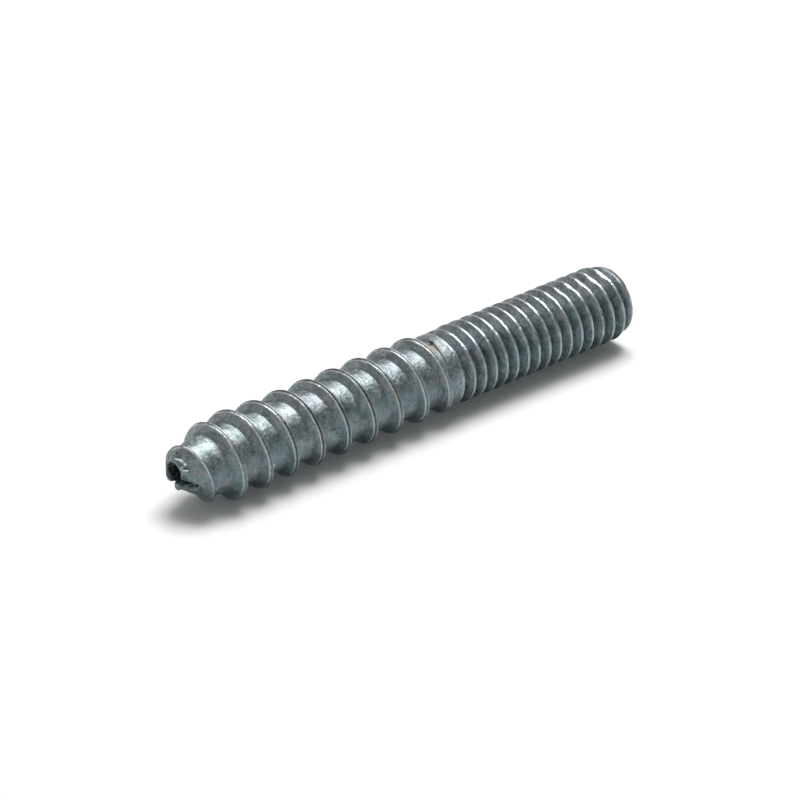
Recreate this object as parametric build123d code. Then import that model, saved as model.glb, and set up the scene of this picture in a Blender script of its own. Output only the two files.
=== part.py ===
from build123d import *
import math
import os

# Hanger bolt: one steel pin, rolled with a coarse wood thread on the tip half (-X) and an
# 18-per-inch machine thread on the other half (+X), with a short plain shank between them.
# It lies on the ground plane. Millimetres, +Z up, axis along +X,
# origin in the middle of its footprint on the ground.

# Driving dimensions
length = 56.5            # over all: the 2 1/4 inch size less what the blunt, broken tip has lost
machine_diameter = 7.9   # over the machine crests, the 5/16 inch size as rolled
machine_pitch = 25.4 / 18
wood_length = 32.0       # the wood thread's share of the pin, worked out to whole turns
wood_diameter = 8.4      # over most wood crests: rolling lifts them past the machine thread
wood_pitch = 3.35
wood_depth = 0.9         # of its groove: the core is this much lower all round
wood_land = 0.42         # flat on top of a wood crest
wood_lip = 0.12          # the land's tip edge lies this much lower than its back edge
front_angle = 34         # flank of a wood crest that faces the tip, from square to the axis
back_angle = 28          # flank that faces the shank
shank_drop = 0.39        # the plain band between the threads lies this much lower than the wood crests
shank_width = 1.24       # of that band, where the wood groove ends
tip_diameter = 2.8       # blunt end
tip_round = 0.25         # of its worn rim
tip_cone = 0.8           # from the tip, the blank doubles its width over this length
first_crest = 1.17       # from the tip to the first crest over the top
pipe_diameter = 2.1      # hole that rolling has torn into the tip
pipe_depth = 1.3
crack_width = 0.5        # crack that runs on from the hole
crack_depth = 1.5
crack_reach = 2.4        # from its start in the hole to where it dies out
chip_distance = 0.74     # from the middle of the blunt end to where its rim has broken off
lead_length = 1.6        # tapered start at the machine end
lead_depth = 0.5

# Derived sizes
x_tip, x_end = -length / 2, length / 2
r_wood, r_mach, r_tip = wood_diameter / 2, machine_diameter / 2, tip_diameter / 2
r_core, r_shank = r_wood - wood_depth, r_wood - shank_drop
front_slope, back_slope = math.tan(math.radians(front_angle)), math.tan(math.radians(back_angle))

mach_depth = 0.6134 * machine_pitch                # depth of an external unified thread
mach_land = machine_pitch / 6                      # rolled crests, a little flatter than the standard's
mach_slope = math.tan(math.radians(30))            # 60 degree thread, both flanks
mach_root = machine_pitch - mach_land - 2 * mach_depth * mach_slope

# Turns are counted from the top of the bolt, towards -Y, as both threads are right-handed.
# A crest ends and a groove starts this part of a turn past the top, and all faces split there.
SEAM = 0.27
whole_turns = math.floor((wood_length - first_crest) / wood_pitch)
t_closed = whole_turns + SEAM        # here the last wood groove has run out
t_faded = t_closed + 0.5             # and half a turn later its crest has sunk to the shank
t_open = SEAM - 0.5                  # turn of the machine thread at which its first groove starts

x_wood0 = x_tip + first_crest
x_groove_end = x_wood0 + t_closed * wood_pitch + wood_land / 2 + (r_wood - r_shank) * back_slope
x_mach0 = x_groove_end + shank_width - SEAM * machine_pitch

# The wood crest by turn: its radius over the nominal one, and how far it has wandered along
# the axis, in pitches. It rises out of the tip in one turn, where the rolled metal has crept
# towards the shank, and stands out a little for the next two turns.
CREST = [(-1.3, 0.36, 0.0), (-0.5, 0.44, 0.0), (-0.2, 0.58, 0.0), (0.0, 0.69, 0.0), (0.2, 0.80, 0.05),
         (0.5, 0.865, 0.12), (0.75, 0.915, 0.135), (0.92, 0.98, 0.07), (1.2, 1.03, 0.01), (1.6, 1.045, 0.0),
         (2.2, 1.035, 0.0), (2.8, 1.012, 0.0), (3.4, 1.0, 0.0)]
axis_height = r_wood * max(row[1] for row in CREST)    # the tallest crest touches the ground


def place(x, r, t):
    """A point at turn t, x along the axis and r from it."""
    a = 2 * math.pi * t
    return Vector(x, -r * math.sin(a), axis_height + r * math.cos(a))


def blend(t, t0, t1):
    """0 before t0, 1 after t1, eased in between."""
    u = min(1.0, max(0.0, (t - t0) / (t1 - t0)))
    return u * u * (3 - 2 * u)


def between(a, b, share):
    return a * (1 - share) + b * share


def from_crest(t, column):
    """Smooth line through one column of the table, level outside it."""
    table = [(row[0], row[column]) for row in CREST]
    if t <= table[0][0]:
        return table[0][1]
    for i in range(len(table) - 1):
        (ta, a), (tb, b) = table[i], table[i + 1]
        if t <= tb:
            before, after = table[max(i - 1, 0)], table[min(i + 2, len(table) - 1)]
            da = (b - before[1]) / (tb - before[0]) * (tb - ta)
            db = (after[1] - a) / (after[0] - ta) * (tb - ta)
            u = (t - ta) / (tb - ta)
            return (a * (1 + 2 * u) + da * u) * (1 - u) ** 2 + (b * (3 - 2 * u) - db * (1 - u)) * u ** 2
    return table[-1][1]


# Wood thread: each function gives x and radius of one of its four helical edges at turn t

def root_radius(x):
    """The core, which grows from the tip to its full size in a little over one and a half pitches."""
    r_first = r_tip + 0.1
    u = min(1.0, max(0.0, (x - x_tip) / (1.6 * wood_pitch)))
    return between(r_first, r_core, 1 - (1 - u) ** 2.2)


def wood_x(t):
    return x_wood0 + wood_pitch * t


def sink(t):
    """0 for a whole crest, 1 where it has sunk to the shank."""
    return blend(t, t_closed - 0.1, t_faded) ** 2


def wood_crest(t):
    """Radius of the crest."""
    full = max(r_wood * from_crest(t, 1), root_radius(wood_x(t)) + 0.15)
    return between(full, r_shank, sink(t))


def crest_x(t):
    """Middle of the crest, which leans back to the tip as it sinks."""
    return wood_x(t) + (from_crest(t, 2) - 0.12 * sink(t)) * wood_pitch


def groove_open(t):
    """1 for a whole groove, falling to 0 over the last half turn."""
    return 1 - (1 - min(1.0, max(0.0, (t_closed - t) / 0.5))) ** 1.25


def wood_back_foot(t):
    root = r_shank if t > t_closed else between(r_shank, root_radius(wood_x(t + 0.25)), groove_open(t))
    return crest_x(t) + wood_land / 2 + (wood_crest(t) - root) * back_slope, root


def wood_back_edge(t):
    return crest_x(t) + wood_land / 2, wood_crest(t)


def wood_front_edge(t):
    if t <= t_faded:
        return crest_x(t) - wood_land / 2, wood_crest(t) - wood_lip * (1 - sink(t))
    # past the end of the crest this is the edge of the shank, closing in on the crest a turn before
    shut = wood_back_foot(t - 1)[0]
    at_fade = crest_x(t_faded) - wood_land / 2 - wood_back_foot(t_faded - 1)[0]
    return shut + at_fade * groove_open(t - 1), r_shank


def wood_front_foot(t):
    x, r = wood_front_edge(t)
    root = between(r_shank, root_radius(wood_x(t - 0.25)), groove_open(t - 1))
    slope = between(0.9, front_slope, blend(t, 0.2, 0.9))       # the first turn leans back to the tip
    reach = (r - root) * slope
    if t > t_faded:
        reach = min(reach, 0.8 * (x - wood_back_foot(t - 1)[0]))
    return x - reach, root


# Machine thread, in the same way

def mach_x(t):
    return x_mach0 + machine_pitch * t


def mach_crest(t):
    return between(r_shank, r_mach, blend(t, t_open + 1, t_open + 1.6))


def mach_groove(t, width):
    """Half the width that the groove between crest t and the next has at this stage."""
    return blend(t, t_open, t_open + 0.55) * width / 2


def groove_root(t):
    return between(mach_crest(t), r_mach - mach_depth, blend(t, t_open, t_open + 0.55))


def mach_back_edge(t):
    return mach_x(t + 0.5) - mach_groove(t, machine_pitch - mach_land), mach_crest(t)


def mach_back_foot(t):
    return mach_x(t + 0.5) - mach_groove(t, mach_root), groove_root(t)


def mach_front_foot(t):
    return mach_x(t - 0.5) + mach_groove(t - 1, mach_root), groove_root(t - 1)


def mach_front_edge(t):
    return mach_x(t - 0.5) + mach_groove(t - 1, machine_pitch - mach_land), mach_crest(t)


# The skin is made of ruled strips between helical edges, half a turn each
STEPS = 6


def edge_of(line, t0, t1, shift=0):
    """The line from turn t0 to t1; its own turns are counted from shift further on."""
    def at(t):
        return place(*line(t + shift), t)
    points = [at(t0 + (t1 - t0) * i / STEPS) for i in range(STEPS + 1)]
    nudge = (t1 - t0) * 1e-5
    tangents = [(at(t0 + nudge) - at(t0)) * 1e5, (at(t1) - at(t1 - nudge)) * 1e5]
    return Edge.make_spline(points, tangents=tangents, scale=False,
                            parameters=[i / STEPS for i in range(STEPS + 1)])


def strip(line_a, line_b, t0, t1, shift_a=0, shift_b=0):
    """Faces between two lines; a shift of one turn joins a groove to the crest that follows it."""
    faces = []
    for i in range(round((t1 - t0) * 2)):
        start, stop = t0 + i / 2, t0 + i / 2 + 0.5
        faces.append(Face.make_surface_from_curves(edge_of(line_a, start, stop, shift_a),
                                                   edge_of(line_b, start, stop, shift_b)))
    return faces


def on_axis(line):
    """The foot of a line on the bolt's axis."""
    return lambda t: (line(t)[0], 0.0)


def flat_cap(t, ring):
    """The flat end of a skin at turn t, through points given by x and radius."""
    points = [place(x, r, t) for x, r in ring]
    return Face(Wire([Edge.make_line(a, b) for a, b in zip(points, points[1:] + points[:1])]))


# Both threads run on past the ends of the bolt, and are trimmed to them below.
t_first = SEAM - 1.5
skin = strip(wood_front_foot, wood_front_edge, t_first, t_closed + 1)
skin += strip(wood_front_edge, wood_back_edge, t_first, t_faded)
skin += strip(wood_back_edge, wood_back_foot, t_first, t_faded)
skin += strip(wood_back_foot, wood_front_foot, t_first, t_closed, 0, 1)

t_last = math.ceil((x_end - x_mach0) / machine_pitch) + SEAM
skin += strip(mach_back_foot, mach_front_foot, t_open, t_last, 0, 1)
skin += strip(mach_front_foot, mach_front_edge, t_open + 1, t_last + 1)
skin += strip(mach_front_edge, mach_back_edge, t_open + 1, t_last + 1)
skin += strip(mach_back_edge, mach_back_foot, t_open, t_last + 1)


# The shank is the plain band between where one thread ends and the other starts.
def shank_from_fade(t):
    """From the end of the wood crest to the end of the wood groove."""
    share = (t - (SEAM + 0.5)) / 0.5
    return between(wood_back_foot(t_faded)[0], wood_back_foot(t_closed)[0], share), r_shank


def shank_to_opening(t):
    """From the machine groove, back to where it starts half a turn before."""
    share = (t - SEAM) / 0.5
    return between(mach_back_edge(SEAM)[0], mach_back_edge(t_open)[0], share), r_shank


skin += strip(wood_back_foot, shank_to_opening, SEAM, SEAM + 0.5, whole_turns, 0)
skin += strip(shank_to_opening, mach_back_edge, SEAM, SEAM + 0.5)
skin += strip(wood_front_edge, shank_from_fade, SEAM + 0.5, SEAM + 1, whole_turns, 0)
skin += strip(shank_from_fade, mach_back_edge, SEAM + 0.5, SEAM + 1, 0, -1)

# A helical fan and a flat cap close each end of the skin.
tip_axis, far_axis = on_axis(wood_front_foot), on_axis(mach_back_foot)
skin += strip(tip_axis, wood_front_foot, t_first, t_first + 1)
skin.append(flat_cap(t_first, [wood_front_foot(t_first), wood_front_edge(t_first), wood_back_edge(t_first),
                               wood_back_foot(t_first), wood_front_foot(t_first + 1), tip_axis(t_first + 1),
                               tip_axis(t_first + 0.5), tip_axis(t_first)]))
skin += strip(mach_back_foot, far_axis, t_last, t_last + 1)
skin.append(flat_cap(t_last, [mach_back_foot(t_last), mach_front_foot(t_last + 1),
                              mach_front_edge(t_last + 1), mach_back_edge(t_last + 1),
                              mach_back_foot(t_last + 1), far_axis(t_last + 1),
                              far_axis(t_last + 0.5), far_axis(t_last)]))
screw = Solid(Shell(skin))

# Ends: the screw is trimmed to a blank with a blunt, rounded tip and a tapered far end
clear = r_wood + 2                   # radius well outside both threads
taper = lead_depth / lead_length
beyond = 2.0                         # the taper's line goes on this far past the crests
outline = [(x_tip, 0), (x_tip, r_tip), (x_tip + tip_cone, 2 * r_tip), (x_tip + 2.5 * tip_cone, clear),
           (x_end - lead_length - 2 * beyond, clear),
           (x_end - lead_length - beyond, r_mach + beyond * taper),
           (x_end, r_mach - lead_depth), (x_end, 0)]
section = make_face(Polyline(*outline, close=True))
shoulder = section.vertices().sort_by_distance((x_tip, r_tip))[0]
blank = revolve(fillet(shoulder, tip_round), Axis.X, 360)
bolt = screw & (Pos(0, 0, axis_height) * blank)

# Torn tip: a ragged hole, a crack that runs on from it, down the front of the cone, and a chip
# off the rim low down at the back. Places are given from the middle of the blunt end.
RAGGED = [1.0, 0.86, 1.05, 0.9, 1.1, 0.95, 0.8, 1.0, 0.88, 1.06, 0.92]
TIP_MIDDLE = Vector(x_tip, 0, axis_height)
PIPE_START = TIP_MIDDLE + Vector(0, 0.33, 0.3)      # the hole isn't quite central
CRACK_START = TIP_MIDDLE + Vector(0, -0.4, 0.94)
CRACK_RUN = Vector(0, -0.66, -0.75)
CRACK_SIDE = Vector(0, 0.75, -0.66)
CHIP_FACING = Vector(-0.797, 0.296, -0.526)
OUTSIDE = -0.5                                      # depth at which the cuts start, clear of the tip


def ragged_ring(depth, radius):
    points = []
    for i, wobble in enumerate(RAGGED):
        a = 2 * math.pi * i / len(RAGGED)
        r = radius * wobble
        points.append(PIPE_START + Vector(depth, r * math.cos(a), r * math.sin(a)))
    return Wire.make_polygon(points, close=True)


def crack_wall(offset):
    """One long side of the crack, by depth and by distance along its run."""
    corners = [(OUTSIDE, 0), (crack_depth, 0),
               (0.7 * crack_depth, 0.93 * crack_reach), (OUTSIDE, 1.07 * crack_reach)]
    start = CRACK_START + CRACK_SIDE * offset
    points = [start + Vector(depth, 0, 0) + CRACK_RUN * run for depth, run in corners]
    return Wire.make_polygon(points, close=True)


mouth, bottom = ragged_ring(OUTSIDE, 0.6 * pipe_diameter), ragged_ring(pipe_depth, 0.28 * pipe_diameter)
pipe = Solid.make_loft([mouth, bottom], ruled=True)
crack = Solid.make_loft([crack_wall(-crack_width / 2), crack_wall(crack_width / 2)], ruled=True)
chip_size = 4 * r_tip
chip = Plane(origin=TIP_MIDDLE + CHIP_FACING * chip_distance, z_dir=CHIP_FACING) * Box(
    chip_size, chip_size, chip_size, align=(Align.CENTER, Align.CENTER, Align.MIN))
bolt = bolt - pipe - crack - chip

box = bolt.bounding_box()
bolt = Pos(0, -(box.min.Y + box.max.Y) / 2, -box.min.Z) * bolt

bolt.label = "hanger_bolt"
os.makedirs("parts", exist_ok=True)
export_step(bolt, "parts/hanger_bolt.step")
print("hanger_bolt", bolt.bounding_box().size, "volume", round(bolt.volume, 1), "valid", bolt.is_valid)
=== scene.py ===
# %% [markdown]
# # A zinc-plated hanger bolt
# A hanger bolt is a headless steel pin. Its tip half has a coarse thread that bites into wood,
# and its other half a fine thread that takes a nut. Both are rolled: the steel is pressed between
# ribbed dies, which leave the tip torn open and a fine seam along each coarse crest.
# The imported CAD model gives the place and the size. This file dresses it: one skin with rounded
# edges, seams, dents and a torn tip, and a zinc finish with scuffs and faint rainbow tints.

# %% The frame
import math

import bpy
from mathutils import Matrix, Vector


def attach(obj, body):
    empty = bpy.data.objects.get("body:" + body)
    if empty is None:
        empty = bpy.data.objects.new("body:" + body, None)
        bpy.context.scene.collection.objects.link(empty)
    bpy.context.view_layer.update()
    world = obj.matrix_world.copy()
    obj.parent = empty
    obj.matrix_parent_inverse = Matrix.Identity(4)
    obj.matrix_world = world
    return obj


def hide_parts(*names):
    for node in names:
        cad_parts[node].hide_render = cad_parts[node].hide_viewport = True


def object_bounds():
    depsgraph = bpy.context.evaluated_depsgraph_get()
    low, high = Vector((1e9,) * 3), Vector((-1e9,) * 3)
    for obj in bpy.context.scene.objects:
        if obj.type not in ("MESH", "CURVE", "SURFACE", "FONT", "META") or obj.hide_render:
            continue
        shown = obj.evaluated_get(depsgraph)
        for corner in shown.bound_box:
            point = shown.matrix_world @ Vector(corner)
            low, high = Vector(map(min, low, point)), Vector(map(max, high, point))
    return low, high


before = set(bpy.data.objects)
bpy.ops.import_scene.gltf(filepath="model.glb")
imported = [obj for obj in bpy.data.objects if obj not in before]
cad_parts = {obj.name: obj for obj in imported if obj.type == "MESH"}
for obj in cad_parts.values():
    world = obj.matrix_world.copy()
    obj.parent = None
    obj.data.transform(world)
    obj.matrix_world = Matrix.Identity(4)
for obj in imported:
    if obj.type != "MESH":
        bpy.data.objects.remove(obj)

cad_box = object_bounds()
print("CAD box, mm:", [[round(1000 * v, 2) for v in corner] for corner in cad_box])

# %% [markdown]
# ## Fields that read like arithmetic
# The bolt's skin follows rules: how far a crest leans, how deep a groove is, how the crest sinks at
# its end. Geometry Nodes can work such rules out for every point at once, but a drawing of two
# hundred Math nodes is hard to read. So each value is wrapped in a small class, and writing
# `a + b * c` adds the nodes and joins them.

# %% A class for fields
class Field:
    """A value that varies over the mesh. Arithmetic on it adds Math nodes to its tree."""

    def __init__(self, tree, socket):
        self.tree = tree
        self.socket = socket

    def _math(self, operation, *values):
        node = self.tree.nodes.new("ShaderNodeMath")
        node.operation = operation
        plug(self.tree, node.inputs, values)
        return Field(self.tree, node.outputs[0])

    def __add__(self, other):
        return self._math("ADD", self, other)

    def __sub__(self, other):
        return self._math("SUBTRACT", self, other)

    def __mul__(self, other):
        return self._math("MULTIPLY", self, other)

    def __truediv__(self, other):
        return self._math("DIVIDE", self, other)

    def __rsub__(self, other):
        return self._math("SUBTRACT", other, self)

    def __neg__(self):
        return self * -1

    __radd__ = __add__
    __rmul__ = __mul__

    def low(self, other):
        return self._math("MINIMUM", self, other)

    def high(self, other):
        return self._math("MAXIMUM", self, other)

    def power(self, other):
        return self._math("POWER", self, other)

    def sine(self):
        return self._math("SINE", self)

    def cosine(self):
        return self._math("COSINE", self)

    def size(self):
        return self._math("ABSOLUTE", self)

    def ramp(self, start, stop, soft=True):
        """0 at start and 1 at stop, eased unless soft is off."""
        node = self.tree.nodes.new("ShaderNodeMapRange")
        node.interpolation_type = "SMOOTHSTEP" if soft else "LINEAR"
        plug(self.tree, node.inputs, (self, start, stop, 0.0, 1.0))
        return Field(self.tree, node.outputs[0])

    def curve(self, points):
        """A smooth curve through points (place, value), level outside them."""
        places, heights = [p[0] for p in points], [p[1] for p in points]
        low, high = min(heights), max(heights)
        node = self.tree.nodes.new("ShaderNodeFloatCurve")
        line = node.mapping.curves[0]
        while len(line.points) < len(points):
            line.points.new(0.5, 0.5)
        for dot, (place, height) in zip(line.points, points):
            dot.location = ((place - places[0]) / (places[-1] - places[0]), (height - low) / (high - low))
        node.mapping.update()
        plug(self.tree, node.inputs, (1.0, self.ramp(places[0], places[-1], soft=False)))
        return Field(self.tree, node.outputs[0]) * (high - low) + low


def plug(tree, inputs, values):
    """Joins fields to a node's inputs, in order, and writes plain numbers on them."""
    for socket, value in zip(inputs, values):
        if isinstance(value, Field):
            tree.links.new(value.socket, socket)
        else:
            socket.default_value = value


def between(a, b, share):
    return a + (b - a) * share


def vector_field(tree, x, y, z):
    node = tree.nodes.new("ShaderNodeCombineXYZ")
    plug(tree, node.inputs, (x, y, z))
    return Field(tree, node.outputs[0])


def split_field(tree, vector):
    node = tree.nodes.new("ShaderNodeSeparateXYZ")
    plug(tree, node.inputs, (vector,))
    return [Field(tree, out) for out in node.outputs]


def noise(place, seed, spots):
    """Soft noise from about -0.5 to 0.5, with that many spots to a millimetre."""
    node = place.tree.nodes.new("ShaderNodeTexNoise")
    node.noise_dimensions = "4D"
    node.inputs["Detail"].default_value = 2.0
    plug(place.tree, node.inputs, (place, seed, spots))
    return Field(place.tree, node.outputs[0]) - 0.5


print("fields ready")

# %% [markdown]
# ## Sizes
# They are the CAD part's own sizes, in millimetres, and become the named inputs of the tree. Two
# differ: the seam is only here, and the hole is a little wider, as its ragged wall takes some of
# the room. The overall length isn't typed: it is read from the frame.

# %% Sizes of the bolt
SIZES = {
    "Length": 1000 * (cad_box[1][0] - cad_box[0][0]),
    "Wood pitch": 3.35,
    "Wood radius": 4.2,
    "Wood core radius": 3.3,
    "Wood land": 0.42,
    "Wood lip": 0.12,
    "Seam depth": 0.13,
    "First crest": 1.17,
    "Band radius": 3.81,
    "Band width": 1.24,
    "Machine pitch": 25.4 / 18,
    "Machine radius": 3.95,
    "Tip radius": 1.4,
    "Hole radius": 1.2,
    "Hole depth": 1.3,
    "Lead length": 1.6,
    "Lead depth": 0.5,
}
AXIS_Y, AXIS_Z = -0.0216, 4.385        # the bolt's axis in the frame, in millimetres
FRONT_SLOPE = math.tan(math.radians(34))         # flank of a wood crest that faces the tip
BACK_SLOPE = math.tan(math.radians(28))          # and the one that faces the shank
MACHINE_SLOPE = math.tan(math.radians(30))

# Turns are counted from the top towards -Y. The wood thread's groove closes at one of them, its
# crest has sunk half a turn later, and there the machine thread's groove opens.
CLOSED = 9.27
FADED = CLOSED + 0.5
MACHINE_START = 10                     # turn at which the machine thread's own count is 0
FIRST_TURN, LAST_TURN = -2.05, 27.6
STEPS = 104                            # points to a turn
SEED = 3.0                             # fixes every nick and rough spot
print("turns:", LAST_TURN - FIRST_TURN)

# %% [markdown]
# ## The skin as one ribbon
# A thread could be swept along a helix, but then its ends stay stubs. Here the whole bolt is one
# ribbon, one pitch wide, that winds from the middle of the torn tip to the middle of the far end.
# Its two edges meet on the crests. Eight lines run along it: the seam, the crest's edges, the feet
# of both flanks, and so on to the next seam. Each line has a rule for its place at every turn, and
# where the rules change slowly, a groove closes or a crest sinks as it does on the real bolt.

# %% The tree and its inputs
tree = bpy.data.node_groups.new("rolled_bolt", "GeometryNodeTree")
tree.interface.new_socket("Geometry", in_out="OUTPUT", socket_type="NodeSocketGeometry")
for name, value in SIZES.items():
    socket = tree.interface.new_socket(name, in_out="INPUT", socket_type="NodeSocketFloat")
    socket.default_value = value
tree.interface.new_socket("Finish", in_out="INPUT", socket_type="NodeSocketMaterial")
seed_input = tree.interface.new_socket("Seed", in_out="INPUT", socket_type="NodeSocketFloat")
seed_input.default_value = SEED

group_in = tree.nodes.new("NodeGroupInput")
group_out = tree.nodes.new("NodeGroupOutput")
size = {name: Field(tree, group_in.outputs[name]) for name in SIZES}
seed = Field(tree, group_in.outputs["Seed"])

# Columns of the ribbon at which its eight lines run
KNOTS = [0, 2, 6, 11, 19, 24, 28, 30]
COLUMNS = KNOTS[-1]
rows = round((LAST_TURN - FIRST_TURN) * STEPS)

grid = tree.nodes.new("GeometryNodeMeshGrid")
plug(tree, grid.inputs, (float(COLUMNS), float(rows), COLUMNS + 1, rows + 1))
where = tree.nodes.new("GeometryNodeInputPosition")
grid_x, grid_y, _ = split_field(tree, Field(tree, where.outputs[0]))
column = grid_x + COLUMNS / 2
turn = (grid_y + rows / 2) / STEPS + FIRST_TURN
print("ribbon:", COLUMNS, "columns by", rows, "rows,", 2 * COLUMNS * rows, "triangles")

# %% [markdown]
# ## The wood thread's rules
# The first crest winds out of the tip in one turn. There the rolled metal has crept towards the
# shank, the next two turns stand out a little, and the last one leans back towards the tip. Two
# short curves hold that, and a third says how far the seam gapes. They are the only part that isn't
# a formula, as they follow how this one bolt came out of the dies.

# %% Crest and core
x_tip = size["Length"] * -0.5
x_end = size["Length"] * 0.5
x_wood0 = x_tip + size["First crest"]
# (turn, share of the full radius)
CREST_RISE = [(-1.3, 0.36), (-0.5, 0.44), (-0.2, 0.61), (0.0, 0.73), (0.2, 0.82), (0.5, 0.865),
              (0.75, 0.915), (0.92, 0.98), (1.2, 1.03), (1.6, 1.045), (2.2, 1.035), (2.8, 1.012),
              (3.4, 1.0)]
# (turn, share of a pitch towards the shank)
CREST_CREEP = [(0.0, 0.0), (0.2, 0.05), (0.5, 0.12), (0.75, 0.135), (0.92, 0.07), (1.2, 0.01),
               (1.6, 0.0), (8.0, 0.0), (8.6, -0.03), (9.0, -0.085), (9.25, -0.09), (9.45, -0.04),
               (9.8, 0.0)]
NOSE_TURNS = (0.3, 1.1)                # over these the crest widens from a sharp ridge to its land
RIDGE = 0.3                            # the ridge's width, as a share of the land's
LEAST_CREST = 0.15                     # how far the first crest stands out of the torn tip, in mm
SUNK_CREEP = 0.12                      # how far the sinking crest draws back to the tip, in pitches


def core_at(x):
    """The wood thread's core, which grows from the tip in a little over one and a half pitches."""
    first = size["Tip radius"] + 0.1
    grown = (x - x_tip).high(0.0) / (size["Wood pitch"] * 1.6)
    return between(first, size["Wood core radius"], 1 - (1 - grown.low(1.0)).power(2.2))


def sunk(t):
    """0 for a whole wood crest, 1 where it has sunk to the plain band."""
    eased = t.ramp(CLOSED - 0.1, FADED)
    return eased * eased


def crest_radius(t):
    wood_line = x_wood0 + size["Wood pitch"] * t
    whole = (size["Wood radius"] * t.curve(CREST_RISE)).high(core_at(wood_line) + LEAST_CREST)
    wood = between(whole, size["Band radius"], sunk(t))
    rise = (size["Machine radius"] - size["Band radius"]) * t.ramp(FADED + 1, FADED + 1.6)
    return wood + rise


groove_end = (x_wood0 + size["Wood pitch"] * CLOSED + size["Wood land"] / 2
              + (size["Wood radius"] - size["Band radius"]) * BACK_SLOPE)
x_mach0 = groove_end + size["Band width"] - size["Machine pitch"] * (CLOSED - 9)


def crest_place(t):
    """Where the crest line, or past its end the ribbon's edge, runs along the axis."""
    held = t.low(FADED)
    wood = x_wood0 + size["Wood pitch"] * (held + t.curve(CREST_CREEP) - sunk(held) * SUNK_CREEP)
    wood = wood - (size["Wood land"] / 2) * (1 - t.ramp(*NOSE_TURNS)) * (1 - RIDGE)
    machine = x_mach0 + size["Machine pitch"] * (t - MACHINE_START)
    return between(wood, machine, t.ramp(FADED, FADED + 1))


def groove_open(t):
    """1 for a whole wood groove, falling to 0 over its last half turn."""
    return ((CLOSED - t) * 2).high(0.0).low(1.0)


next_turn = turn + 1
crest_a, crest_b = crest_place(turn), crest_place(next_turn)
radius_a, radius_b = crest_radius(turn), crest_radius(next_turn)
open_a = groove_open(turn)
print("nodes with crest and core:", len(tree.nodes))

# %% [markdown]
# ## Eight lines for the wood thread
# Each line is a pair: its place along the bolt, and its distance from the axis. On the tip the
# lines are simply spread evenly, and from the first turn on they follow the crest and the root. The
# flank towards the tip leans more than the other, so the bolt goes into wood more easily than it
# comes out, and the crest's edge on that side was rolled a little lower.

# %% The wood ribbon's eight lines
def half_land(t):
    """Half the land's width: a sharp ridge on the first turn, a flat from the second on."""
    return size["Wood land"] / 2 * (RIDGE + t.ramp(*NOSE_TURNS) * (1 - RIDGE))


half_a, half_b = half_land(turn), half_land(next_turn)
formed_a, formed_b = turn.ramp(-0.5, -0.05), next_turn.ramp(-0.5, -0.05)
# How far the seam on the crest gapes, by turn: the dies closed it at both ends of the thread
SEAM_OPEN = [(-0.3, 0.0), (0.2, 0.4), (1.0, 0.3), (2.0, 0.45), (3.0, 0.55), (3.3, 1.0), (6.4, 1.0),
             (7.0, 0.7), (7.6, 0.55), (7.9, 0.1), (9.0, 0.0)]
LEAST_CUT = 0.15                       # the groove's width where it has closed, so no faces fold over
NOSE_SLOPE_FRONT = 0.9                 # slope of the front flank on the first turn
seam_a, seam_b = turn.curve(SEAM_OPEN), next_turn.curve(SEAM_OPEN)
lip_b = size["Wood lip"] * (1 - sunk(next_turn))

back_root = between(size["Band radius"], core_at(crest_a + size["Wood pitch"] / 4), open_a)
back_foot = crest_a + half_a + (radius_a - back_root).high(0.0) * BACK_SLOPE

front_root = between(size["Band radius"], core_at(crest_b - size["Wood pitch"] / 4), open_a)
last_edge = crest_place(turn * 0 + FADED) - size["Wood land"] / 2
closing = turn.ramp(FADED - 1, FADED - 0.99, soft=False)
shut_edge = back_foot + LEAST_CUT + (last_edge - back_foot - LEAST_CUT) * open_a
front_edge = between(crest_b - half_b, shut_edge, closing)
edge_radius = between(radius_b - lip_b, size["Band radius"], closing)
front_lean = between(NOSE_SLOPE_FRONT, FRONT_SLOPE, next_turn.ramp(0.2, 0.9))
front_reach = ((edge_radius - front_root).high(0.0) * front_lean).high(0.1)
front_foot = front_edge - front_reach.low((front_edge - back_foot) * 0.8)


def formed(line, place, share):
    """A line's place: evenly spread on the tip, and its own where the thread is formed."""
    return between(between(crest_a, crest_b, KNOTS[line] / COLUMNS), place, share)


seam_edge_a = crest_a + half_a * (0.2 + seam_a * 0.25)
seam_edge_b = crest_b - half_b * (0.2 + seam_b * 0.25)
wood_lines = [
    (crest_a, radius_a - size["Seam depth"] * seam_a),
    (formed(1, seam_edge_a, formed_a), radius_a),
    (formed(2, crest_a + half_a, formed_a), radius_a),
    (formed(3, back_foot, formed_a), back_root),
    (formed(4, front_foot, formed_b), front_root),
    (formed(5, front_edge, formed_b), edge_radius),
    (formed(6, seam_edge_b, formed_b), radius_b - lip_b * (1 - closing) * 0.55),
    (crest_b, radius_b - size["Seam depth"] * seam_b),
]
print("wood thread:", len(wood_lines), "lines")

# %% [markdown]
# ## The machine thread's rules
# It is a 60 degree thread, so each line is a fixed share of the pitch. Its groove opens out of the
# plain band over half a turn, and only then do the crests rise to their full size.

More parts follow.
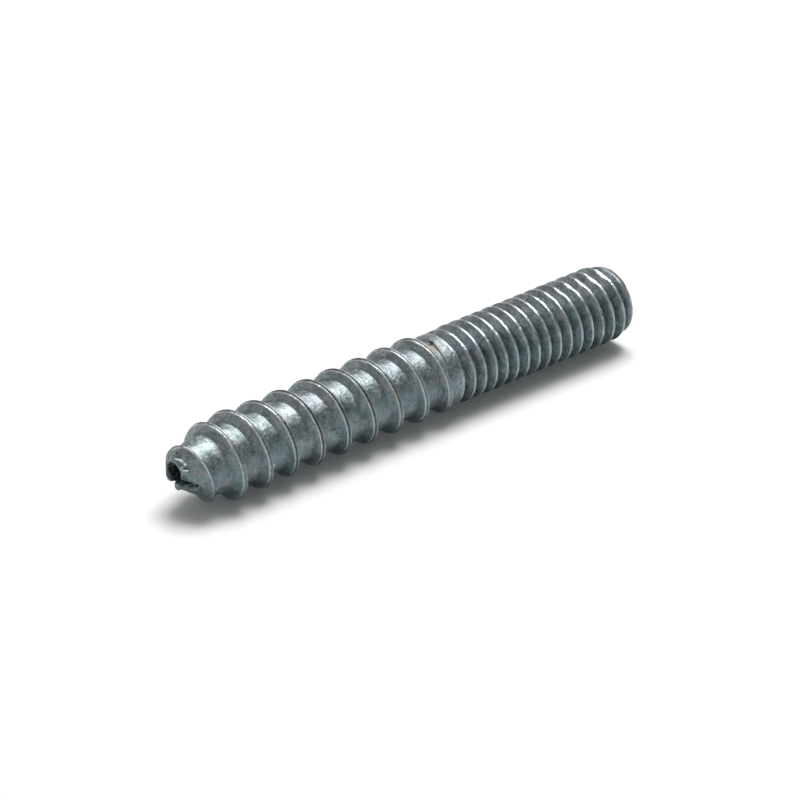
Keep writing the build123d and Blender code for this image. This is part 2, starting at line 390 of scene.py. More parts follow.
# %% The machine ribbon's eight lines
GROOVE_DEPTH = 0.6134                  # of the pitch
machine_open = turn.ramp(FADED - 0.15, FADED + 0.3)
groove_depth = size["Machine pitch"] * GROOVE_DEPTH
land = size["Machine pitch"] / 6
groove_floor = size["Machine pitch"] - land - groove_depth * (2 * MACHINE_SLOPE)
groove_middle = x_mach0 + size["Machine pitch"] * (turn - (MACHINE_START - 0.5))
half_mouth = ((size["Machine pitch"] - land) * machine_open / 2).high(0.3)
half_floor = (groove_floor * machine_open / 2).high(0.06)
floor_radius = size["Machine radius"] - groove_depth
floor_a = between(radius_a, floor_radius, machine_open)
floor_b = between(radius_b, floor_radius, machine_open)
machine_lines = [
    wood_lines[0],
    (between(crest_a, groove_middle - half_mouth, 0.5), radius_a),
    (groove_middle - half_mouth, radius_a),
    (groove_middle - half_floor, floor_a),
    (groove_middle + half_floor, floor_b),
    (groove_middle + half_mouth, radius_b),
    (between(crest_b, groove_middle + half_mouth, 0.5), radius_b),
    wood_lines[7],
]
is_machine = turn.ramp(FADED - 0.2, FADED)
lines = [(between(wx, mx, is_machine), between(wr, mr, is_machine))
         for (wx, wr), (mx, mr) in zip(wood_lines, machine_lines)]
print("machine thread:", len(machine_lines), "lines")

# %% [markdown]
# ## From lines to a rounded section
# Straight runs between the lines would give knife edges, and a rolled and plated bolt has none.
# Each corner is softened over a few columns: the run before it hands over to the run after it
# along a short parabola.

# %% The section across the ribbon
ROUNDING = [0, 0.35, 0.4, 0.7, 0.7, 0.4, 0.35, 0]      # in columns, for each of the eight lines
CROWDING = 0.62                                        # how much the columns crowd towards the lines

across = column * 0
for start, stop in zip(KNOTS, KNOTS[1:]):
    share = column.ramp(start, stop, soft=False)
    crowded = share - (share * (2 * math.pi)).sine() * (CROWDING / (2 * math.pi))
    across = across + crowded * (stop - start)


def bent(at, reach):
    """0 before a knot, and past it the distance from it, with a soft bend of that reach."""
    if reach == 0:
        return (across - at).high(0.0)
    early, late = (across - (at - reach)).high(0.0), (across - (at + reach)).high(0.0)
    return (early * early - late * late) / (4 * reach)


bends = [bent(knot, reach) for knot, reach in zip(KNOTS, ROUNDING)]
along, radius = lines[0]
for i in range(len(KNOTS) - 1):
    share = (bends[i] - bends[i + 1]) / (KNOTS[i + 1] - KNOTS[i])
    along = along + (lines[i + 1][0] - lines[i][0]) * share
    radius = radius + (lines[i + 1][1] - lines[i][1]) * share
print("nodes so far:", len(tree.nodes))

# %% [markdown]
# ## Nicks and wobble
# No rolled thread is even. The crests bear small nicks from the box the bolt lay in, and every
# face wanders by a few hundredths of a millimetre. Noise read at each point's own place gives
# both, and because two points at one place get the same value, the skin stays closed.

# %% Nicks on the crests
angle = turn * (2 * math.pi)
sine, cosine = angle.sine(), angle.cosine()
from_edge = column.low(COLUMNS - column)                 # columns from the nearer crest line
on_crest = 1 - from_edge.ramp(3.5, 8.0)
even_place = vector_field(tree, along, sine * radius * -1, cosine * radius)
is_thread = (along - x_tip).ramp(2.5, 5.0)
NICK_DEPTH, WOBBLE_DEPTH = 0.12, 0.03
nicks = noise(even_place, seed, 1.1).ramp(0.13, 0.3) * on_crest * is_thread
wobble = noise(even_place, seed + 5, 0.45) * is_thread
radius = radius - nicks * NICK_DEPTH - (wobble + 0.3).high(0.0) * WOBBLE_DEPTH
print("nodes with nicks:", len(tree.nodes))

# %% [markdown]
# ## Both ends
# Past the tip the ribbon turns inwards: over the blunt face, down the wall of the hole that rolling
# tore open, and across its bottom. At the far end it follows the tapered start and then the flat
# face. So the skin is closed without caps.

# %% The blunt tip with its hole, and the far end
NOSE_SLOPE = 1.75
inside_tip = (x_tip - along).high(0.0)
cone = size["Tip radius"] - 0.06 + (along - x_tip).high(0.0) * NOSE_SLOPE
rim_width = size["Tip radius"] - size["Hole radius"]
hole_bottom = rim_width + size["Hole depth"]
over_face = inside_tip.ramp(0.0, rim_width, soft=False)
down_hole = inside_tip.ramp(rim_width, hole_bottom, soft=False)
over_bottom = inside_tip.ramp(hole_bottom, hole_bottom + 0.4, soft=False)
WALL, BOTTOM = 0.42, 0.6               # how much of the hole's radius its wall and its bottom take up
narrowing = down_hole * WALL + over_bottom * BOTTOM
tip_radius = cone - rim_width * over_face - size["Hole radius"] * narrowing

lead_slope = size["Lead depth"] / size["Lead length"]
lead = size["Machine radius"] - size["Lead depth"] + (x_end - along) * lead_slope
past_end = (along - x_end - 0.03).high(0.0)
end_turns = (x_end - x_mach0) / size["Machine pitch"] - turn + 0.5
wrapped = tree.nodes.new("ShaderNodeMath")
wrapped.operation = "FLOORED_MODULO"
plug(tree, wrapped.inputs, (end_turns, 1.0))
from_crest = (Field(tree, wrapped.outputs[0]) - 0.5).size() * size["Machine pitch"]
cut_depth = ((from_crest - land / 2) / MACHINE_SLOPE).high(0.0).low(groove_depth)
end_outline = (size["Machine radius"] - cut_depth).low(size["Machine radius"] - size["Lead depth"])
end_radius = end_outline * (1 - past_end.ramp(0.0, 1.5, soft=False))
SLIVER = 0.03                                            # nearer the middle, points meet in one
end_radius = end_radius * end_radius.ramp(SLIVER, SLIVER + 0.001, soft=False)
is_end = (along - x_end).ramp(0.0, 0.001, soft=False)

radius = between(radius.low(lead).low(tip_radius).high(0.0), end_radius, is_end)
print("nodes:", len(tree.nodes))

# %% [markdown]
# ## Winding it
# Now the ribbon is wound round the axis. The place along the axis stays, the turn gives the angle,
# and the radius the height. Both threads are right-handed, so the turns run from the top to -Y.
# The hole tore open to one side of the axis, so points near the tip are shifted that way.

# %% Wind the ribbon
HOLE_Y, HOLE_Z = 0.28, 0.36
hole_shift = (x_tip + 0.8 - along).ramp(0.0, 1.15)
across_y = hole_shift * HOLE_Y - sine * radius
across_z = hole_shift * HOLE_Z + cosine * radius
along = along.high(x_tip).low(x_end) + size["Hole depth"] * down_hole
print("nodes, wound:", len(tree.nodes))

# %% [markdown]
# ## The torn tip
# Rolling squeezes the wire's end until its middle tears open. What is left is a ragged hole, a
# crack that runs on from it through crumbled metal, a corner broken off below, and two places where
# the thin rim has chipped. A crack is a trench pressed into the face, and a chip is a flat: points
# beyond a plane are brought back to it. All of it is kept to the first millimetre or so. Its places
# are (y, z) points across the tip, in millimetres from the axis.

# %% Crack and broken corner
near_tip = 1 - (along - x_tip).ramp(0.7, 1.5)
torn_place = vector_field(tree, along, across_y, across_z)
ragged = noise(torn_place, seed + 11, 1.8)
rough = noise(torn_place, seed + 23, 3.5)


def trench(start, stop, half_width):
    """A mask: 1 along a line across the tip, from one point to another."""
    length = math.dist(start, stop)
    run_y, run_z = (stop[0] - start[0]) / length, (stop[1] - start[1]) / length
    off_y, off_z = across_y - start[0], across_z - start[1]
    forward = off_y * run_y + off_z * run_z
    beside = off_z * run_y - off_y * run_z + ragged * 0.5 + rough * 0.6
    inside = forward.ramp(-0.15, 0.1) * (1 - forward.ramp(length - 0.1, length + 0.15))
    return inside * (1 - beside.size().ramp(half_width * 0.4, half_width)) * near_tip


crack = trench((-0.45, 0.3), (-0.95, -0.45), 0.34).high(trench((-1.0, -0.1), (-2.05, -0.6), 0.36))
corner = across_y.ramp(0.15, 0.4) * (-across_z - across_y * 0.35).ramp(0.5, 0.75) * near_tip
crumbled = trench((-0.2, 0.3), (-1.9, -0.7), 1.0)
CRACK_DEPTH, CORNER_DEPTH = 0.95, 0.8
ROUGH_CRACK, ROUGH_CRUMBS = 2.5, 1.3   # how uneven the crack's floor and the crumbled metal are
along = (along + crack * (CRACK_DEPTH + rough * ROUGH_CRACK) + corner * CORNER_DEPTH
         + rough * crumbled * ROUGH_CRUMBS)

RAGGED_RIM, RAGGED_WALL = 0.2, 0.45
along = along + (ragged + rough * 0.5) * hole_shift * RAGGED_RIM
across_y = across_y + rough * hole_shift * RAGGED_WALL
across_z = across_z + noise(torn_place, seed + 31, 3.5) * hole_shift * RAGGED_WALL
print("nodes with the crack:", len(tree.nodes))

# %% Chips of the rim
CHIPS = [  # the plane a chip broke along: which way it faces, and its distance from the tip's middle
    ((-0.797, 0.296, -0.526), 0.8),
    ((-0.763, 0.646, 0.0), 0.93),
]
for (nx, ny, nz), reach in CHIPS:
    out = (along - x_tip) * nx + across_y * ny + across_z * nz
    beyond = (out - reach - rough * 0.1).high(0.0) * near_tip
    along, across_y, across_z = along - beyond * nx, across_y - beyond * ny, across_z - beyond * nz
torn = inside_tip.ramp(0.3, 0.6).high(crack.ramp(0.3, 0.8)).high(crumbled * 0.45).high(corner * 0.5)
FLUSH = 0.001                          # keeps the tip's face just inside the CAD part
along = along.high(x_tip + FLUSH)
wound = vector_field(tree, along, across_y, across_z)
print("nodes with the torn tip:", len(tree.nodes))

# %% [markdown]
# ## Worn crests
# Towards the far end the machine thread's crests have rubbed on something hard and are flat on top.
# Wear is made like a chip: what stands beyond a plane is brought back to it. The plane comes nearer
# to the axis towards the end, and wanders, so each crest has a flat of its own length.

# %% Machine crests worn flat near the far end
WORN = math.radians(13)                # which way the flats face: from the top towards -Y
WEAR_START, WEAR_LENGTH = 14, 11       # along the bolt, from its middle, in millimetres
WEAR_DEPTH, WEAR_WANDER = 0.13, 0.15
worn_y, worn_z = -math.sin(WORN), math.cos(WORN)
worn_along = along - WEAR_START
worn_depth = worn_along.ramp(0.0, WEAR_LENGTH) * WEAR_DEPTH + noise(wound, seed + 41, 0.4) * WEAR_WANDER
outward = across_y * worn_y + across_z * worn_z
rubbed_off = (outward - size["Machine radius"] + worn_depth.high(0.0)).high(0.0) * worn_along.ramp(0.0, 1.0)
wound = vector_field(tree, along, across_y - rubbed_off * worn_y, across_z - rubbed_off * worn_z)
print("nodes with the worn crests:", len(tree.nodes))

# %% [markdown]
# ## What the finish needs to know
# Only the ribbon knows where its crests, seams and flank feet run, so these are kept as masks on the
# points, from 0 to about 1. The lips are the two edges of a wood crest and the top of a machine crest,
# which rub bright and also get a painted highlight. The gaping seams, dark dashes on the machine
# crests and the feet of the flanks get painted shade.

# %% Keep what the finish needs
def store(geometry, name, value):
    """Keeps a field on the points under a name, for the finish to read."""
    node = tree.nodes.new("GeometryNodeStoreNamedAttribute")
    node.data_type = "FLOAT"
    node.domain = "POINT"
    tree.links.new(geometry, node.inputs["Geometry"])
    node.inputs["Name"].default_value = name
    tree.links.new(value.socket, node.inputs["Value"])
    return node.outputs["Geometry"]


def stripe(place, rise, fall):
    """A mask that rises between the first pair of columns and falls between the second."""
    return place.ramp(*rise) * (1 - place.ramp(*fall))


# The lips of both threads
front_there = next_turn.ramp(-0.2, 0.05) * (1 - sunk(next_turn)) * (1 - closing)
back_there = turn.ramp(0.2, 0.6) * (1 - sunk(turn))
front_lip = stripe(column, (23.0, 24.0), (24.9, 26.4)) * front_there
back_lip = stripe(column, (3.5, 4.8), (6.0, 7.0)) * back_there
wood_lips = front_lip.high(back_lip * 0.6)
# Short dark dashes along a machine crest: painted shadows of its nicks
dash_there = turn.ramp(FADED + 1, FADED + 2) * (1 - is_end)
nick_shadow_dashes = noise(even_place, seed + 51, 0.9).ramp(0.05, 0.14) * (1 - from_edge.ramp(0.8, 2.6)) * dash_there
machine_there = turn.ramp(FADED, FADED + 0.6) * (1 - is_end)
machine_crest = (1 - from_edge.ramp(4.8, 6.8)) * (1 - nick_shadow_dashes) * machine_there
worn_bright = rubbed_off.ramp(0.0, 0.02) * 1.3
# painted shade in the seam where it gapes
wood_seam = (1 - from_edge.ramp(0.4, 2.1)) * (1 - machine_crest) * seam_a.high(seam_b)

geometry = grid.outputs["Mesh"]
for name, value in {
    "lip": wood_lips.high(machine_crest * 0.7).high(worn_bright),
    "seam": wood_seam.high(nick_shadow_dashes),
    # painted shade at the feet of the flanks
    "foot_shade": 1 - (from_edge - KNOTS[3]).size().ramp(0.0, 2.2),
    "torn": torn,
}.items():
    geometry = store(geometry, name, value)
print("nodes with the masks:", len(tree.nodes))

# %% [markdown]
# ## From ribbon to skin
# Set Position moves every point of the flat grid to its wound place. Neighbouring turns then lie
# edge to edge, and Merge by Distance sews them, as it does the points that meet in the middle of
# both ends. The tree works in millimetres, and a Transform brings it to metres and onto the axis.

# %% Wind it, close it and scale it
winding = tree.nodes.new("GeometryNodeSetPosition")
tree.links.new(geometry, winding.inputs["Geometry"])
tree.links.new(wound.socket, winding.inputs["Position"])
scale = tree.nodes.new("GeometryNodeTransform")
tree.links.new(winding.outputs["Geometry"], scale.inputs["Geometry"])
scale.inputs["Translation"].default_value = (0, AXIS_Y / 1000, AXIS_Z / 1000)
scale.inputs["Scale"].default_value = (0.001, 0.001, 0.001)
merge = tree.nodes.new("GeometryNodeMergeByDistance")
tree.links.new(scale.outputs["Geometry"], merge.inputs["Geometry"])
merge.inputs["Distance"].default_value = 2e-6            # two thousandths of a millimetre
flip = tree.nodes.new("GeometryNodeFlipFaces")           # the grid's faces look inwards once it is wound
tree.links.new(merge.outputs["Geometry"], flip.inputs["Mesh"])
smooth = tree.nodes.new("GeometryNodeSetShadeSmooth")
tree.links.new(flip.outputs["Mesh"], smooth.inputs["Geometry"])
real = tree.nodes.new("GeometryNodeRealizeInstances")
tree.links.new(smooth.outputs["Geometry"], real.inputs["Geometry"])
finish = tree.nodes.new("GeometryNodeSetMaterial")
tree.links.new(real.outputs["Geometry"], finish.inputs["Geometry"])
tree.links.new(group_in.outputs["Finish"], finish.inputs["Material"])
tree.links.new(finish.outputs["Geometry"], group_out.inputs["Geometry"])
print("nodes in the whole tree:", len(tree.nodes))

# %% [markdown]
# ## A plain mesh of it
# The tree runs once, as a modifier on an empty mesh that gets the sizes and the finish. Its result
# is copied to a plain mesh, so the export finds ordinary faces, and the modifier is gone.

# %% Run the tree
def input_id(name):
    """The identifier by which a modifier knows one of the tree's inputs."""
    return next(item.identifier for item in tree.interface.items_tree
                if item.name == name and item.in_out == "INPUT")


zinc = bpy.data.materials.new("zinc_plating")
zinc.use_nodes = True
maker = bpy.data.objects.new("bolt_maker", bpy.data.meshes.new("empty"))
bpy.context.scene.collection.objects.link(maker)
modifier = maker.modifiers.new("rolled_bolt", "NODES")
modifier.node_group = tree
for name, value in SIZES.items():
    modifier[input_id(name)] = value
modifier[input_id("Finish")] = zinc
modifier[input_id("Seed")] = SEED

evaluated = maker.evaluated_get(bpy.context.evaluated_depsgraph_get())
skin = bpy.data.meshes.new_from_object(evaluated)
maker.modifiers.clear()
bpy.data.objects.remove(maker)
skin.name = "hanger_bolt_skin"
bolt = bpy.data.objects.new("bolt_skin", skin)
bpy.context.scene.collection.objects.link(bolt)
corners = [[round(1000 * f(v.co[i] for v in skin.vertices), 3) for f in (min, max)] for i in range(3)]
print("skin:", len(skin.vertices), "points,", len(skin.polygons), "faces, box mm:", corners)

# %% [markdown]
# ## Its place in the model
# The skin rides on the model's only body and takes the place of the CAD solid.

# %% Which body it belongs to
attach(bolt, "root")
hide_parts("hanger_bolt")
print(bolt.name, "stands for the CAD solid")

# %% [markdown]
# ## The zinc finish
# Bright zinc plating is metal all through, so its look comes from what it mirrors and how much the
# surface scatters. A thin passive film on it tints the grey in soft patches: teal mostly, with some
# lavender, pink and straw. The thin bright lines on the crests are partly rubbed metal and partly a
# painted highlight, and the grey is painted lighter on top and darker below. A picture could be laid
# on instead, but these patterns are worked out from the point's own place, so they are sharp at any
# distance and need no seams. Millimetres are easier to think in, so the place is scaled first.

# %% Place in millimetres and masks from the skin
coat = zinc.node_tree
metal = coat.nodes["Principled BSDF"]
place = coat.nodes.new("ShaderNodeTexCoord")


def in_millimetres(stretch):
    """The point's place in millimetres, with each axis stretched."""
    node = coat.nodes.new("ShaderNodeMapping")
    node.inputs["Scale"].default_value = [1000 * s for s in stretch]
    coat.links.new(place.outputs["Object"], node.inputs["Vector"])
    return Field(coat, node.outputs[0])


def mask(name):
    node = coat.nodes.new("ShaderNodeAttribute")
    node.attribute_name = name
    return Field(coat, node.outputs["Fac"])


def blend_colour(share, a, b):
    """A colour between two others; a and b are colours or fields."""
    node = coat.nodes.new("ShaderNodeMix")
    node.data_type = "RGBA"
    factor, _, _, _, _, _, first, second = node.inputs[:8]
    plug(coat, (factor, first, second), (share, a, b))
    return Field(coat, node.outputs[2])


spot = in_millimetres((1, 1, 1))
lip, seam, foot_shade, torn = [mask(name) for name in ("lip", "seam", "foot_shade", "torn")]
print("nodes of the place and the masks:", len(coat.nodes))

# %% [markdown]
# ## Tints of the film
# The film is a fraction of a micrometre thick, and a little more or less of it changes its tint, as
# on a soap bubble. Each tint is a soft patch of noise of its own size, laid over the one before.

# %% Tints of the passive film
TEAL, GREY = (0.215, 0.295, 0.31, 1), (0.255, 0.305, 0.31, 1)
LAVENDER = (0.275, 0.30, 0.345, 1)
PINK, STRAW = (0.375, 0.33, 0.355, 1), (0.39, 0.37, 0.30, 1)
spot_x, spot_y, height_mm = split_field(coat, spot)
painted_top_light = height_mm.ramp(5.0, 8.2)       # painted light and shade: lighter and more neutral on top, darker teal below
colour = blend_colour(painted_top_light, TEAL, GREY)
colour = blend_colour(noise(spot, 1.0, 0.35).ramp(-0.02, 0.16) * 0.7, colour, LAVENDER)
colour = blend_colour(noise(spot, 7.0, 1.1).ramp(0.02, 0.2) * 0.55, colour, PINK)
colour = blend_colour(noise(spot, 13.0, 0.9).ramp(0.08, 0.25) * 0.6, colour, STRAW)
print("nodes with the tints:", len(coat.nodes))

# %% [markdown]
# ## Light and dark in the zinc
# Zinc settles in fine crystals, so the grey is grainy. Over it lie broader mottling, streaks along
# the bolt and a few short scratches. The shade is a number: under 1 it mixes the tint with black,
# over 1 with bare pale metal. It is painted light on top, and painted shade lowers it towards the
# underside, at the flank feet, in the gaping seams and the dashes on the machine crests, and in the
# torn tip.

# %% Grain, streaks, scratches and painted shade
SHADE_AND_GRAIN_BLACK, PALE_ZINC = (0.015, 0.018, 0.02, 1), (0.8, 0.84, 0.86, 1)
grain = noise(spot, 3.0, 4.5)
mottle = noise(spot, 9.0, 1.3)
streaks = noise(in_millimetres((6.0, 0.8, 0.8)), 21.0, 1.0)
# painted shade and light: the shade is lower towards the underside and higher on top
painted_height_shade = 0.79 + height_mm.ramp(4.5, 7.0) * 0.17 + painted_top_light * 0.14
shade = painted_height_shade + grain * 1.25 + mottle * 1.0 + streaks * 0.6
# painted shade in the torn hole and crack, broken by noise into lighter and darker patches
torn_painted_shade = (torn * (0.6 + noise(spot, 61.0, 2.8) * 3.0)).high(0.0).low(0.95)
scratches = noise(in_millimetres((0.7, 2.6, 2.6)), 33.0, 1.0).ramp(0.14, 0.24)
# painted shade: darker at the flank feet, in the seams and dashes, and in the torn hole and crack
shade = shade * (1 - scratches * 0.4) * (1 - foot_shade * 0.2) * (1 - seam * 0.9) * (1 - torn_painted_shade)
dark = blend_colour(shade.low(1.0).high(0.0), SHADE_AND_GRAIN_BLACK, colour)
tone = blend_colour((shade - 1).high(0.0).low(1.0), dark, PALE_ZINC)
print("nodes with grain and dirt:", len(coat.nodes))

# %% [markdown]
# ## Bright crests
# In a box of bolts the crests knock together and lose their film, mostly on top of the rolled lips.
# The lip mask says where, and noise breaks the line up so that it comes and goes. The same line is
# also a painted highlight: it is made brighter on the upper side of the bolt and fainter below.

# %% Crests rubbed bright, with a painted highlight
BRIGHT = (0.85, 0.88, 0.90, 1)
broken = noise(spot, 17.0, 1.7) * 2.4 + 0.85
# painted highlight: the lip line is made brighter on the upper side of the bolt
rubbed_and_highlight = (lip * broken * (painted_top_light * 1.1 + 0.35)).low(1.0).high(0.0) * (1 - torn)
tone = blend_colour(rubbed_and_highlight, tone, BRIGHT)
print("nodes with the bright crests:", len(coat.nodes))

# %% [markdown]
# ## Marks of its own
# Besides what every such bolt has, this one bears a brown stain on the band and dark specks in the
# roots. White strokes round the hole and one on the first crest are partly fresh scratches and partly
# painted glints, and one bright patch on a root is a painted highlight. Each is a small ball or a short
# thick line in space, with a grainy edge, and colours what lies in it. Its place is given as a person
# would find it with the bolt in hand: so far from the tip, at which part of a turn, and how far from the
# axis.

# %% A list of marks
TIP = -0.5 * SIZES["Length"]
SCRATCH_AND_GLINT_WHITE, BROWN, BLACK = (0.92, 0.93, 0.94, 1), (0.22, 0.15, 0.10, 1), (0.02, 0.02, 0.02, 1)
PALE, DULL_BROWN = (0.5, 0.54, 0.55, 1), (0.25, 0.21, 0.17, 1)
SPECKS = [  # place from the tip, turn, distance from the axis, size, strength and colour
    (31.9, 9.05, 3.85, 1.3, 0.6, DULL_BROWN),
    (32.35, 9.02, 3.7, 0.36, 1.0, BLACK),
    (17.56, 0.229, 3.35, 0.24, 0.8, BLACK),
    (17.9, 0.26, 3.35, 0.2, 0.7, BLACK),
    (14.1, 0.291, 3.35, 0.5, 0.5, BROWN),
    (14.9, 0.2, 3.35, 0.3, 0.5, BROWN),
    (9.47, 0.264, 3.35, 0.3, 0.6, BLACK),
    (0.55, -0.02, 2.3, 0.2, 0.9, BLACK),
    (52.3, 0.2, 3.9, 0.25, 0.9, BLACK),
    (2.3, 0.43, 3.3, 1.0, 0.5, BROWN),
]
SCUFFS_AND_HIGHLIGHT = [  # the same, rubbed to bright metal, and one painted highlight
    (31.05, 8.23, 4.2, 0.6, 0.35, BRIGHT),
    # a painted highlight on a root
    (12.96, 0.059, 3.35, 0.9, 0.12, BRIGHT),
    (9.9, 0.3, 3.35, 0.25, 0.7, BRIGHT),
]
STROKES_AND_GLINTS = [  # scratches and painted glints, matt so that they look the same from any side: points, width and colour
    ([(0.19, -0.017, 1.87), (0.24, 0.009, 1.92), (0.33, 0.044, 2.01), (0.35, 0.066, 2.03)], 0.1, SCRATCH_AND_GLINT_WHITE),
    ([(0.31, 0.036, 1.99), (0.34, 0.052, 2.02)], 0.16, SCRATCH_AND_GLINT_WHITE),
    ([(0.37, 0.087, 2.04), (0.38, 0.092, 2.05)], 0.16, SCRATCH_AND_GLINT_WHITE),
    ([(0.14, 0.123, 1.6), (0.25, 0.135, 1.78), (0.35, 0.143, 1.95), (0.45, 0.138, 2.14)], 0.1, SCRATCH_AND_GLINT_WHITE),
    ([(0.21, 0.094, 1.76), (0.04, 0.098, 1.47), (0.0, 0.108, 1.37)], 0.11, PALE),
    ([(0.24, 0.115, 1.8), (0.37, 0.128, 2.0)], 0.13, BLACK),
    # a painted highlight along the first crest
    ([(1.04, 0.005, 3.08), (1.19, 0.04, 3.14), (1.36, 0.08, 3.22), (1.53, 0.12, 3.29)], 0.1, SCRATCH_AND_GLINT_WHITE),
]
print("marks:", len(SPECKS) + len(SCUFFS_AND_HIGHLIGHT) + len(STROKES_AND_GLINTS))

# %% How a mark is laid on
def place_of(mark):
    """A mark's place: how far from the tip, at which turn, how far from the axis."""
    from_tip, at_turn, from_axis = mark
    a = 2 * math.pi * at_turn
    return TIP + from_tip, AXIS_Y - from_axis * math.sin(a), AXIS_Z + from_axis * math.cos(a)


def distance_to(target):
    node = coat.nodes.new("ShaderNodeVectorMath")
    node.operation = "DISTANCE"
    plug(coat, node.inputs, (spot, target))
    return Field(coat, node.outputs["Value"])


def distance_to_line(start, stop):
    """The distance to a straight line between two places, ends included."""
    length = math.dist(start, stop)
    run = [(b - a) / length for a, b in zip(start, stop)]
    forward = sum((c - a) * r for c, a, r in zip((spot_x, spot_y, height_mm), start, run))
    forward = forward.high(0.0).low(length)
    return distance_to(vector_field(coat, *[forward * r + a for a, r in zip(start, run)]))


def paint(tone, dirt_and_glints, gap, spread_mm, strength, tint):
    """Lays a mark on the tone where the gap to it is small. Unless it is bright, it is matt: dirt, or a
    painted glint.
    """
    cover = (1 - (gap + grain * spread_mm * 1.5).ramp(spread_mm * 0.5, spread_mm)) * strength
    tone = blend_colour(cover, tone, tint)
    return tone, dirt_and_glints if tint == BRIGHT else dirt_and_glints.high(cover)


# %% Lay them on
dirt_and_glints = grain * 0
for *mark, spread_mm, strength, tint in SPECKS + SCUFFS_AND_HIGHLIGHT:
    tone, dirt_and_glints = paint(tone, dirt_and_glints, distance_to(place_of(mark)), spread_mm, strength, tint)
for points, spread_mm, tint in STROKES_AND_GLINTS:
    for start, stop in zip(points, points[1:]):
        gap = distance_to_line(place_of(start), place_of(stop))
        tone, dirt_and_glints = paint(tone, dirt_and_glints, gap, spread_mm, 1.0, tint)
coat.links.new(tone.socket, metal.inputs["Base Color"])
print("nodes with the marks:", len(coat.nodes))

# %% [markdown]
# ## Gloss
# Rubbed crests are smoother and torn metal is rougher. Where dirt, a matt scratch or a painted glint
# lies, the surface isn't metal. The film is a thin coat over the zinc and is the same all over, so its
# values stand on the shader.

# %% Roughness, metal and film
roughness = 0.5 + mottle * 0.25 + grain * 0.3 - rubbed_and_highlight * 0.18 + torn * 0.3
coat.links.new(roughness.socket, metal.inputs["Roughness"])
bare = 1 - dirt_and_glints
coat.links.new(bare.socket, metal.inputs["Metallic"])
metal.inputs["Coat Weight"].default_value = 0.2
metal.inputs["Coat Roughness"].default_value = 0.35
print("nodes with the gloss:", len(coat.nodes))

# %% [markdown]
# ## Fine relief
# The lumps of the plating are a few hundredths of a millimetre high, too fine for the mesh, so they
# only tilt the surface for the light. All that shows in the outline is in the mesh itself.

# %% Lumps and grain as bump
BUMP_HEIGHT = 0.00005                  # in metres, as the shader counts in the scene's unit
bump = coat.nodes.new("ShaderNodeBump")
bump.inputs["Distance"].default_value = BUMP_HEIGHT
bump.inputs["Strength"].default_value = 1.0
relief = mottle * 1.7 + grain * 1.1 + streaks * 0.6
coat.links.new(relief.socket, bump.inputs["Height"])
coat.links.new(bump.outputs["Normal"], metal.inputs["Normal"])
print("nodes of the zinc finish:", len(coat.nodes))

# %% [markdown]
# ## White paper under it
# The photograph's ground is plain white with a soft shadow. The paper's own colour is nearly white,
# and a little glow that only the camera and mirror-like rays see lifts it to full white, so no extra
# light falls on the bolt.

# %% Floor
HALF = 1.5                             # half the sheet's side, in metres
PAPER_WHITE, PAPER_GLOW = (0.95, 0.95, 0.95, 1), 0.02
floor_mesh = bpy.data.meshes.new("floor")
floor_mesh.from_pydata([(-HALF, -HALF, 0), (HALF, -HALF, 0), (HALF, HALF, 0), (-HALF, HALF, 0)],
                       [], [(0, 1, 2, 3)])
floor = bpy.data.objects.new("floor", floor_mesh)
bpy.context.scene.collection.objects.link(floor)
paper = bpy.data.materials.new("white_paper")
paper.use_nodes = True
sheet = paper.node_tree
surface = sheet.nodes["Principled BSDF"]
surface.inputs["Roughness"].default_value = 1.0
surface.inputs["Specular IOR Level"].default_value = 0.0
surface.inputs["Base Color"].default_value = PAPER_WHITE
surface.inputs["Emission Color"].default_value = (1, 1, 1, 1)
ray = sheet.nodes.new("ShaderNodeLightPath")
seen = (Field(sheet, ray.outputs["Is Camera Ray"]) + Field(sheet, ray.outputs["Is Glossy Ray"])
        + Field(sheet, ray.outputs["Is Transmission Ray"]))
glow = seen.low(1.0) * PAPER_GLOW
sheet.links.new(glow.socket, surface.inputs["Emission Strength"])
floor_mesh.materials.append(paper)
print("floor:", 2 * HALF, "m square")

# %% [markdown]
# ## Light
# A metal thing is lit by what it mirrors. The world is bright overhead, as under a studio's soft
# box, and has two dim walls, one beyond the tip and one behind the camera. So faces that look up
# are light and those that look down are dark. One lamp over the far side adds the sharper
# highlights and throws the soft shadow on the near side.

# %% World
world = bpy.data.worlds.new("studio")
bpy.context.scene.world = world
world.use_nodes = True
sky = world.node_tree
direction = sky.nodes.new("ShaderNodeTexCoord")
OVERHEAD = (0.2, 0.15, 0.968)          # and a little to the right and back
BEYOND_TIP = (-0.85, 0.5, 0.15)
BEHIND_CAMERA = (-0.5, -0.72, 0.48)
TIP_WALL, CAMERA_WALL, DIM = 0.3, 0.2, 0.14      # how bright the walls and the rest of the room are
SOFT_BOX, SOFT_BOX_FOCUS = 2.7, 12.0             # its brightness, and how fast that falls off


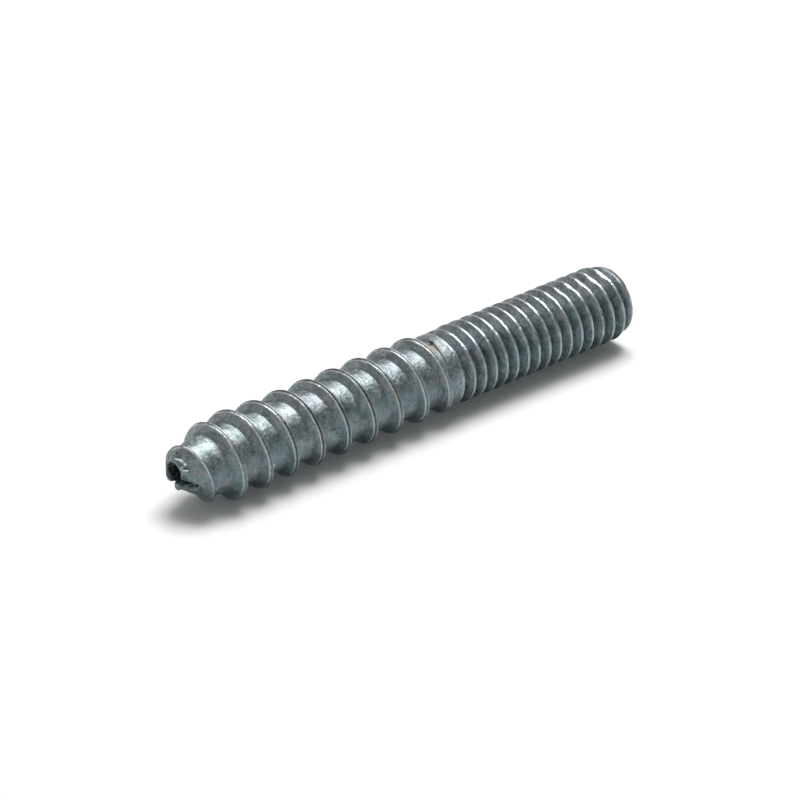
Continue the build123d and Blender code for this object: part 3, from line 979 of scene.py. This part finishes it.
def facing(side):
    """1 where the sky lies that way, 0 square to it and behind."""
    node = sky.nodes.new("ShaderNodeVectorMath")
    node.operation = "DOT_PRODUCT"
    sky.links.new(direction.outputs["Generated"], node.inputs[0])
    node.inputs[1].default_value = side
    return Field(sky, node.outputs["Value"]).high(0.0)


_, _, height = split_field(sky, Field(sky, direction.outputs["Generated"]))
walls = facing(BEYOND_TIP) * TIP_WALL + facing(BEHIND_CAMERA).power(3.0) * CAMERA_WALL
soft_box = facing(OVERHEAD).power(SOFT_BOX_FOCUS) * SOFT_BOX
brightness = (1 - height * height) * (walls + DIM) + soft_box
sky.nodes["Background"].inputs["Color"].default_value = (1, 1, 1, 1)
sky.links.new(brightness.socket, sky.nodes["Background"].inputs["Strength"])
print("nodes of the world:", len(sky.nodes))

# %% Lamp
lamp = bpy.data.lights.new("soft_box", "AREA")
lamp.shape = "RECTANGLE"
lamp.size, lamp.size_y = 0.3, 0.3
lamp.energy = 1.9
key = bpy.data.objects.new("soft_box", lamp)
key.location = (0.13, 0.06, 0.5)
key.rotation_euler = (Vector((0, 0, 0)) - key.location).to_track_quat("-Z", "Y").to_euler()
bpy.context.scene.collection.objects.link(key)
print("lamp:", lamp.energy, "W,", round(key.location.length, 2), "m away")

# %% [markdown]
# ## Camera
# The angles come from the threads: their crest lines look like one set of ellipses from one place
# only. A long lens from a metre away keeps the near and the far end almost the same size.

# %% Camera
AIM = Vector((0.0005, AXIS_Y / 1000, AXIS_Z / 1000))
ELEVATION, YAW = math.radians(28.835), math.radians(40.25)     # down, and to the right of +Y
DISTANCE = 0.9794
level = math.cos(ELEVATION)
looking = Vector((level * math.sin(YAW), level * math.cos(YAW), -math.sin(ELEVATION)))
lens = bpy.data.cameras.new("camera")
lens.sensor_width = 36
lens.lens = 444.4
lens.shift_y = -0.01865                # the bolt lies a little above the frame's middle
lens.clip_start, lens.clip_end = 0.05, 10
camera = bpy.data.objects.new("camera", lens)
camera.location = AIM - looking * DISTANCE
camera.rotation_euler = looking.to_track_quat("-Z", "Y").to_euler()
bpy.context.scene.collection.objects.link(camera)
bpy.context.scene.camera = camera
bpy.context.scene.view_settings.view_transform = "Standard"
print("camera, m:", [round(c, 3) for c in camera.location])
